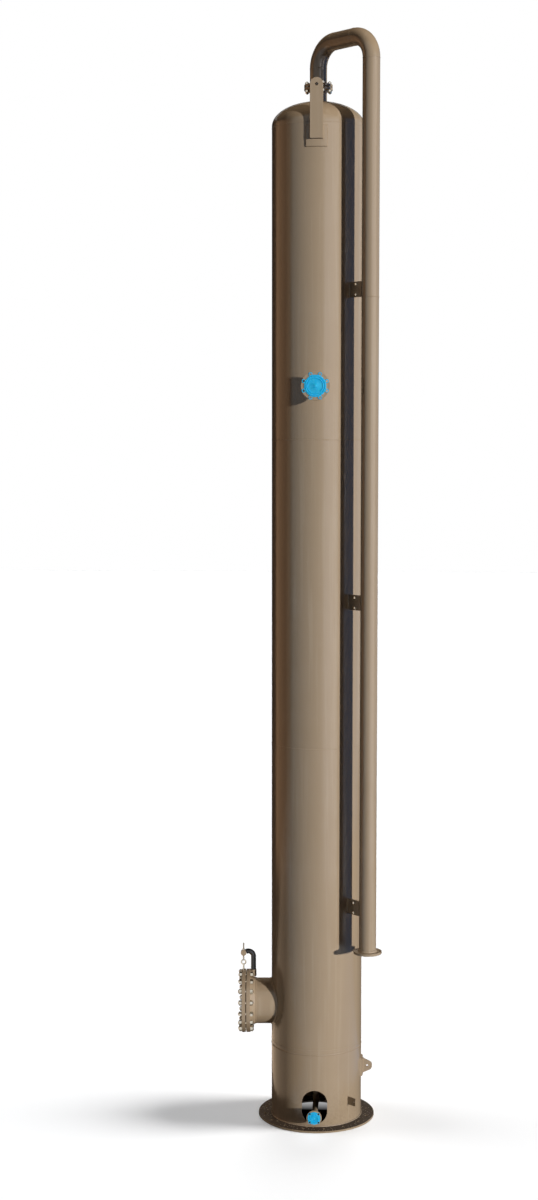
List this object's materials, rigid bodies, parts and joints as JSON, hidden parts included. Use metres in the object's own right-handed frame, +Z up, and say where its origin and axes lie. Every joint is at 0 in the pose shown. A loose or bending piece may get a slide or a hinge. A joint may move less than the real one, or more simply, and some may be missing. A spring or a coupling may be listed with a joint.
{
  "type": "vapor recovery tower",
  "caption": "Tall slim tan painted steel process tower on a skirt and base ring, with a gooseneck outlet pipe, a side manway with davit and capped nozzles.",
  "frame": {"origin": "centre of the anchor bolt circle, on the underside of the base ring at ground level", "axes": "+Z up the vessel axis; -Y is the front, with the access opening, side nozzle and front lifting lug; the manway is 3 degrees from -X towards the front"},
  "size_m": [1.4734, 1.2543, 10.8345],
  "materials": {
    "tan_paint": "satin",
    "zinc_plate": "satin",
    "black_paint": "gloss",
    "blue_plastic": "gloss",
    "gasket": "matte"
  },
  "bodies": {
    "root": {"base_ring": "tan_paint", "skirt": "tan_paint", "bottom_head": "tan_paint", "shell_lower": "tan_paint", "shell_middle": "tan_paint", "shell_upper": "tan_paint", "top_head": "tan_paint", "top_nozzle": "tan_paint", "riser_flange": "tan_paint", "inner_elbow": "tan_paint", "crossover": "tan_paint", "outer_elbow": "tan_paint", "downcomer": "tan_paint", "downcomer_foot": "tan_paint", "downcomer_flange": "tan_paint", "shell_clip_low": "tan_paint", "shell_clip_middle": "tan_paint", "shell_clip_high": "tan_paint", "pipe_clip_low": "tan_paint", "pipe_clip_middle": "tan_paint", "pipe_clip_high": "tan_paint", "side_nozzle": "tan_paint", "manway_neck": "tan_paint", "manway_flange": "tan_paint", "manway_cover": "tan_paint", "davit_socket": "tan_paint", "davit_boss": "tan_paint", "drain_pipe": "tan_paint", "drain_flange": "tan_paint", "front_lug_pad": "tan_paint", "back_lug_pad": "tan_paint", "front_lifting_lug": "tan_paint", "back_lifting_lug": "tan_paint", "tailing_pad": "tan_paint", "tailing_lug": "tan_paint", "grounding_lug": "tan_paint", "top_studs": "zinc_plate", "clip_bolts": "zinc_plate", "manway_studs": "zinc_plate", "davit_screw": "zinc_plate", "cover_eye": "zinc_plate", "davit_arm": "black_paint", "side_nozzle_cap": "blue_plastic", "drain_cap": "blue_plastic", "top_gasket": "gasket", "manway_gasket": "gasket"}
  },
  "joints": []
}
